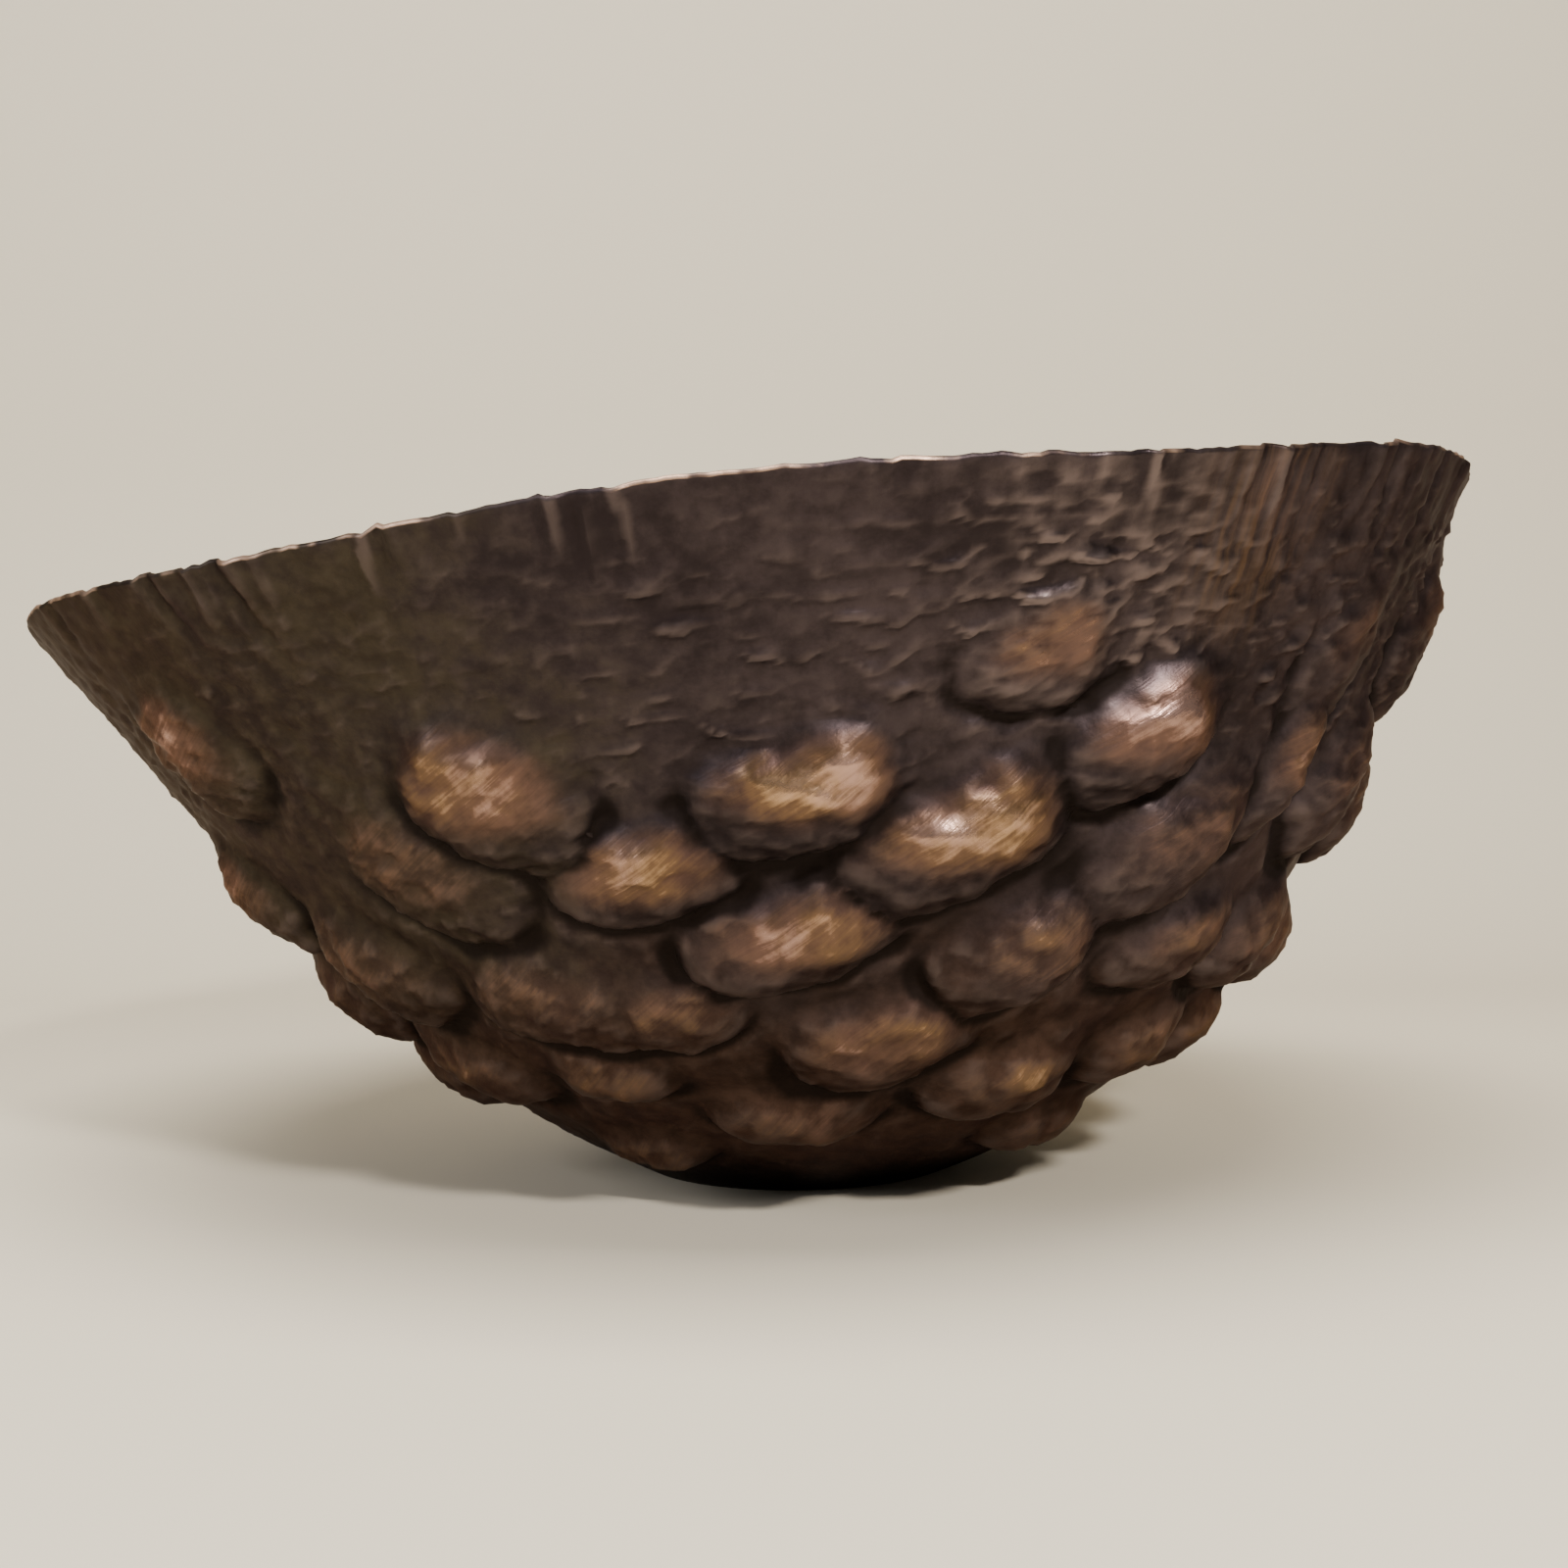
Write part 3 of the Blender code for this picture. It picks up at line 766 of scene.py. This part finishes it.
# the wall under the high rim near DEEPEST_AT, lighter and glossier: partly polish, partly painted reflection
# of light
polish_and_painted_sheen = t.product(t.ramp(t.away(azimuth, DEEPEST_AT), 17.0, 4.0), t.ramp(share, 0.72, 0.84))
# ridges between the hammer marks painted grey: partly wear, partly painted highlight on their lips
ridge_wear_and_highlight = t.ramp(t.total(fine, t.product(mottle, 0.3), t.product(polish_and_painted_sheen, 0.25)), -0.1, 0.9)
ridge_wear_and_highlight = t.product(ridge_wear_and_highlight, t.ramp(polish_and_painted_sheen, 0.0, 1.0, 0.34, 0.80), outside)
colour = t.blend(ridge_wear_and_highlight, colour, RIDGE_WEAR_AND_HIGHLIGHT_GREY)
print("ridges are rubbed most near azimuth", DEEPEST_AT)

# %% Rubbed bosses, with painted top light and highlight
BOSS_BROWN = (0.086, 0.049, 0.039, 1.0)
GOLD = ((0.136, 0.081, 0.044, 1.0), (0.124, 0.071, 0.054, 1.0))            # yellowest and rosiest
BRIGHT_COPPER = ((0.40, 0.255, 0.150, 1.0), (0.38, 0.240, 0.200, 1.0))
STREAKS_AT = 302.5        # azimuth in degrees of the upright streaks
# the crown is weighted to each boss's upper side, so this wear is partly painted top light
crown_wear_and_top_light = t.product(crown, t.ramp(rub, 0.0, 1.0, 0.15, 1.0, "LINEAR"), outside)
crown_wear_and_top_light = t.total(crown_wear_and_top_light, t.product(fibre, 0.75), t.product(mottle, 0.95), t.product(cloudy, 0.9),
               t.product(fine, 0.4))
crown_wear_and_top_light = t.product(t.ramp(crown_wear_and_top_light, 0.05, 1.25), t.ramp(crown, 0.1, 0.8),
                 t.ramp(outside, 0.0, 1.0, 0.3, 1.0))
streaks = t.product(t.ramp(t.away(azimuth, STREAKS_AT), 8.0, 1.5), t.ramp(share, 0.78, 0.92),
                    t.ramp(streak, -0.15, 0.25), 0.32)
rubbing_and_top_light = t.maths("MAXIMUM", crown_wear_and_top_light, streaks)
# the boss body brown follows the crown: lighter on its upper side, partly painted top light
body = t.product(t.ramp(t.total(crown, t.product(mottle, 0.5)), 0.04, 0.9),
                 t.ramp(rub, 0.0, 0.8, 0.25, 1.0), outside)
colour = t.blend(body, colour, BOSS_BROWN)
rosy = t.ramp(t.total(cloudy, t.product(mottle, 0.4)), -0.12, 0.16)
# gold and bright copper on the crown tops: partly rubbed metal, partly painted highlight
colour = t.blend(t.ramp(rubbing_and_top_light, 0.0, 0.5, kind="LINEAR"), colour, t.blend(rosy, *GOLD))
colour = t.blend(t.ramp(rubbing_and_top_light, 0.45, 1.0, kind="LINEAR"), colour, t.blend(rosy, *BRIGHT_COPPER))
print("nodes with the rubbing:", len(copper.node_tree.nodes))

# %% [markdown]
# The creases are painted near black, most under a boss that hangs over the next: partly patina left where no
# cloth reaches, partly painted shadow of the overhanging boss. The rim's raw edge is painted bright copper in
# broken stretches, a painted glint of light on the edge.

# %% Black creases, partly painted shadow, and the painted glint on the edge
CREASE_PATINA_AND_SHADOW = (0.010, 0.007, 0.006, 1.0)
EDGE_GLINT = (0.48, 0.32, 0.23, 1.0)
under = t.ramp(t.read("crease"), 0.0, 0.5, 0.25, 1.0)
# creases painted near black, most under an overhanging boss: patina and painted shadow
patina_and_shadow_in_creases = t.product(t.ramp(t.total(cavity, t.product(mottle, 0.5)), -0.3, -1.7), under)
colour = t.blend(t.product(patina_and_shadow_in_creases, 0.85), colour, CREASE_PATINA_AND_SHADOW)
# the rim's edge is painted bright copper in broken stretches: a painted glint
glint_breaks = t.ramp(t.noise(wrap, 60.0, 3.0, 0.6, (1.0, 1.0, 0.0)), -0.04, 0.14)
edge_glint = t.product(t.ramp(t.away(outside, 0.5), 0.45, 0.2), glint_breaks)
colour = t.blend(t.product(edge_glint, 0.8), colour, EDGE_GLINT)
print("nodes with creases and edge:", len(copper.node_tree.nodes))

# %% [markdown]
# Patina is dull and rubbed copper shines, so the gloss follows the same layers. The metal's own specular
# tint is kept low, because a patina film takes the glare off the edges. Bump carries only what is too fine
# for the mesh: the strokes of the cloth, the patina's crust and a grain.

# %% Gloss and grain
METALLIC = 0.85
GLARE = (0.42, 0.37, 0.34, 1.0)
ROUGHEST = 0.85
shader = copper.node_tree.nodes["Principled BSDF"]
t.feed(shader.inputs["Base Color"], colour)
dull = t.total(0.45, t.product(rubbing_and_top_light, -0.24), t.product(polish_and_painted_sheen, -0.08), t.product(mottle, 0.22),
               t.product(patina_and_shadow_in_creases, 0.25), t.product(grain, 0.08))
t.feed(shader.inputs["Roughness"], t.maths("MINIMUM", dull, ROUGHEST))
shader.inputs["Metallic"].default_value = METALLIC
shader.inputs["Specular Tint"].default_value = GLARE
relief = t.total(t.product(fibre, 0.35, t.ramp(crown, 0.0, 0.4, 0.3, 1.0)), t.product(mottle, 0.55),
                 t.product(grain, 0.12), t.product(streak, 0.3, t.ramp(share, 0.86, 1.0)))
bump = t.add("ShaderNodeBump", {"Height": relief, "Strength": 0.55, "Distance": 0.5 * MM})
t.feed(shader.inputs["Normal"], bump.outputs["Normal"])
t.lay_out()
print("nodes in the patina:", len(copper.node_tree.nodes))

# %% [markdown]
# ## Work the blank
# The tree is hung on the blank as a modifier and fed its sizes by socket identifier. Its result is then
# taken as one plain mesh, so that nothing live is left, and the blank and the boss plan are cleared away.

# %% Run the tree and keep the result
work = blank.modifiers.new("Chase and hammer", "NODES")
work.node_group = hammering
sockets = {item.name: item.identifier for item in hammering.interface.items_tree
           if item.item_type == "SOCKET" and item.in_out == "INPUT"}
work[sockets["Boss plan"]] = plan
work[sockets["Copper"]] = copper
for name, size in HAMMER_SIZES:
    work[sockets[name]] = size
bpy.context.view_layer.update()
graph = bpy.context.evaluated_depsgraph_get()
worked = blank.evaluated_get(graph)
mesh = bpy.data.meshes.new_from_object(worked, preserve_all_data_layers=True, depsgraph=graph)
mesh.name = "hammered_bowl"
blank.modifiers.remove(work)
bpy.data.objects.remove(plan)
bpy.data.objects.remove(blank)
print("worked sheet:", len(mesh.vertices), "points")

# %% Hand the bowl over
DONE_WITH = ("form", "out", "warped", "lift", "height", "crimp")
bowl = bpy.data.objects.new("hammered_bowl", mesh)
bpy.context.scene.collection.objects.link(bowl)
for name in DONE_WITH:
    mesh.attributes.remove(mesh.attributes[name])
triangles = sum(len(face.vertices) - 2 for face in mesh.polygons)
print("hammered bowl:", triangles, "triangles, materials", [one.name for one in mesh.materials])

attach(bowl, "root")
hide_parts("bowl_shell")

# %% [markdown]
# ## Where it stands
# A plain pale sweep of paper, so that nothing competes with the metal. Copper shows its form only by what it
# reflects: a large soft box above gives each crown its sheen and leaves its underside dark, a small one at
# the right front adds the glints, a weak one at the left opens the shadows, and the paper does the rest.

# %% Floor and backdrop in one sweep
SWEEP_FRONT, SWEEP_BACK, SWEEP_TOP, SWEEP_BEND, SWEEP_HALF = -2.2, 0.75, 1.6, 0.35, 3.0
SWEEP_STEPS = 16
PAPER = (0.57, 0.515, 0.41, 1.0)


def sweep():
    line = [(SWEEP_FRONT, 0.0), (SWEEP_BACK - SWEEP_BEND, 0.0)]
    for i in range(1, SWEEP_STEPS + 1):
        turn = math.pi / 2 * i / SWEEP_STEPS
        back = SWEEP_BACK - SWEEP_BEND + SWEEP_BEND * math.sin(turn)
        line.append((back, SWEEP_BEND - SWEEP_BEND * math.cos(turn)))
    line.append((SWEEP_BACK, SWEEP_TOP))
    points = [(x, y, z) for y, z in line for x in (-SWEEP_HALF, SWEEP_HALF)]
    faces = [(2 * i, 2 * i + 1, 2 * i + 3, 2 * i + 2) for i in range(len(line) - 1)]
    sheet = bpy.data.meshes.new("paper_sweep")
    sheet.from_pydata(points, [], faces)
    sheet.shade_smooth()
    return sheet


paper = bpy.data.materials.new("paper")
paper.use_nodes = True
matt = paper.node_tree.nodes["Principled BSDF"]
matt.inputs["Base Color"].default_value = PAPER
matt.inputs["Roughness"].default_value = 0.9
matt.inputs["Specular IOR Level"].default_value = 0.1
floor = bpy.data.objects.new("paper_sweep", sweep())
floor.data.materials.append(paper)
bpy.context.scene.collection.objects.link(floor)
floor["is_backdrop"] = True
print("paper:", len(floor.data.polygons), "faces")

# %% Lights
LIT = Vector((0.0, 0.0, 0.09))   # where every soft box points, at half the bowl's height
SOFT_BOXES = (   # name, place, size, watts, colour
    ("key", (0.50, -1.25, 0.85), (0.16, 0.12), 30.0, (1.0, 0.95, 0.90)),
    ("top", (-0.1, -0.5, 1.4), (1.1, 0.7), 38.0, (1.0, 0.96, 0.90)),
    ("fill", (-1.2, -0.8, 0.7), (0.8, 0.6), 15.0, (0.95, 0.96, 1.0)),
)
for name, at, size, watts, tint in SOFT_BOXES:
    light = bpy.data.lights.new(name, "AREA")
    light.shape = "RECTANGLE"
    light.size, light.size_y = size
    light.energy = watts
    light.color = tint
    box = bpy.data.objects.new(name, light)
    box.location = at
    box.rotation_euler = (LIT - Vector(at)).to_track_quat("-Z", "Y").to_euler()
    bpy.context.scene.collection.objects.link(box)
world = bpy.data.worlds.new("room")
world.use_nodes = True
world.node_tree.nodes["Background"].inputs["Color"].default_value = (0.80, 0.78, 0.75, 1.0)
world.node_tree.nodes["Background"].inputs["Strength"].default_value = 0.16
bpy.context.scene.world = world
print("soft boxes:", [name for name, *_ in SOFT_BOXES])

# %% Camera
EYE_AT = (-0.003, -0.560, 0.115)
LENS, SENSOR = 43.7, 36.0
LOOKS_DOWN, ROLL = 0.53, 0.7     # degrees
eye = bpy.data.cameras.new("eye")
eye.sensor_width = SENSOR
eye.lens = LENS
camera = bpy.data.objects.new("eye", eye)
camera.location = EYE_AT
camera.rotation_euler = (math.radians(90.0 - LOOKS_DOWN), math.radians(ROLL), 0.0)
bpy.context.scene.collection.objects.link(camera)
bpy.context.scene.camera = camera
print("camera %.2f m in front, %.0f mm above the table" % (-EYE_AT[1], EYE_AT[2] / MM))

# %% [markdown]
# ## Measure and finish
# The looks must not change the size, so the worked bowl's box is kept beside the plain one's.

# %% Compare the boxes
shown_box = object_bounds()
boxes = {"cad": [list(corner) for corner in cad_box], "visual": [list(corner) for corner in shown_box]}
for name, (low, high) in boxes.items():
    print(name, "box in mm", [round((b - a) / MM, 1) for a, b in zip(low, high)])
